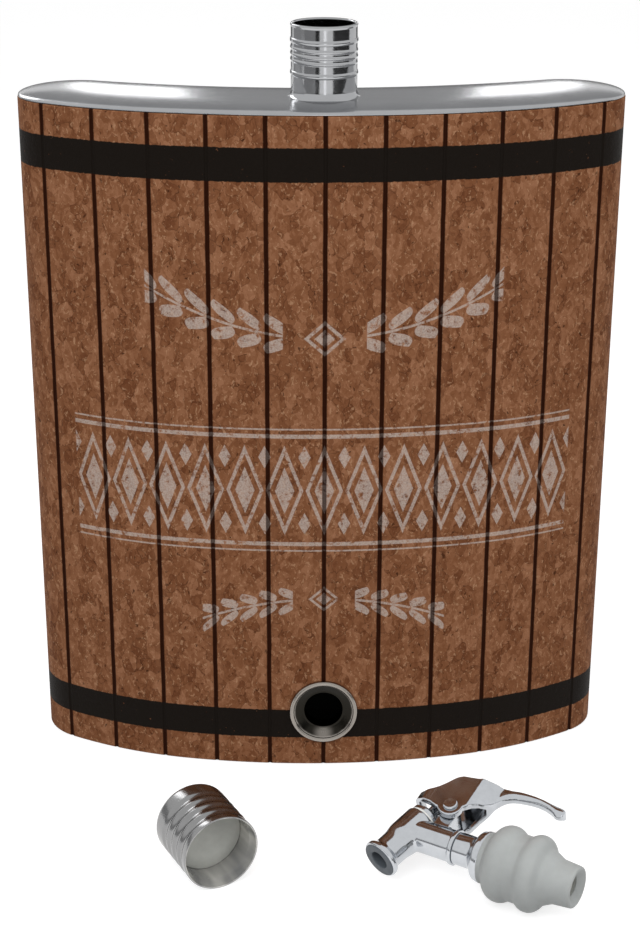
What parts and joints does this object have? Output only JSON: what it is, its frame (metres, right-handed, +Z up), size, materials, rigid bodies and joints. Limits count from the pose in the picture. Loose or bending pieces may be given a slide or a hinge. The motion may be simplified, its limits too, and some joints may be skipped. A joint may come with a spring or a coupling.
{
  "type": "flask dispenser",
  "caption": "Kidney-shaped steel flask wrapped in cork like a barrel, with a threaded neck, a tap hole low on its front, a loose ribbed screw cap and a loose press-lever tap with a soft bung.",
  "frame": {"origin": "on the underside of the base plate, under the neck's axis", "axes": "+Z up along the neck, -Y out of the front with the tap hole, +X to the right as seen from the front"},
  "size_m": [0.21, 0.1675, 0.2692],
  "materials": {
    "steel": "polished stainless steel",
    "cork": "natural cork sheet with dark stave lines and printed hoops",
    "cap_steel": "polished stainless steel",
    "liner": "white liner disc",
    "tap_chrome": "bright plating",
    "sleeve": "grey sleeve",
    "silicone": "matt white silicone",
    "seal": "black seal",
    "spring": "spring wire",
    "valve": "white valve cup"
  },
  "bodies": {
    "flask": {"front_wall": "steel", "left_wall": "steel", "right_wall": "steel", "back_wall": "steel", "base_plate": "steel", "top_plate": "steel", "neck_tube": "steel", "spigot_collar": "steel", "cork_wrap": "cork"},
    "cap": {"cap_shell": "cap_steel", "cap_liner": "liner"},
    "tap": {"tap_body": "tap_chrome", "spout_sleeve": "sleeve", "inlet_tube": "tap_chrome", "bung": "silicone", "bonnet": "tap_chrome", "bonnet_gasket": "silicone", "stem_o_ring": "seal", "return_spring": "spring", "lever_pin": "tap_chrome"},
    "stem": {"valve_stem": "tap_chrome", "valve_cup": "valve", "stem_button": "tap_chrome"},
    "lever": {"lever": "tap_chrome"}
  },
  "joints": [
    {"name": "cap_lift", "type": "slide", "parent": "flask", "child": "cap", "axis": [0, 0, 1], "range_m": [0, 0.15]},
    {"name": "tap_lift", "type": "slide", "parent": "flask", "child": "tap", "axis": [0, 0, 1], "range_m": [0, 0.15]},
    {"name": "lever_press", "type": "hinge", "parent": "tap", "child": "lever", "pos_m": [0.04196, -0.0865, 0.01607], "axis": [0.1617, 0.2442, -0.9561], "range_deg": [0, 18], "stiffness_Nm_per_rad": 0.08, "springref_deg": -22.92},
    {"name": "stem_lift", "type": "slide", "parent": "tap", "child": "stem", "axis": [0.7138, 0.6401, 0.2842], "range_m": [0, 0.00226], "deforming": ["return_spring"]}
  ],
  "couplings": [
    {"joint": "lever_press", "follows": "stem_lift", "rad_per_m": 139}
  ]
}
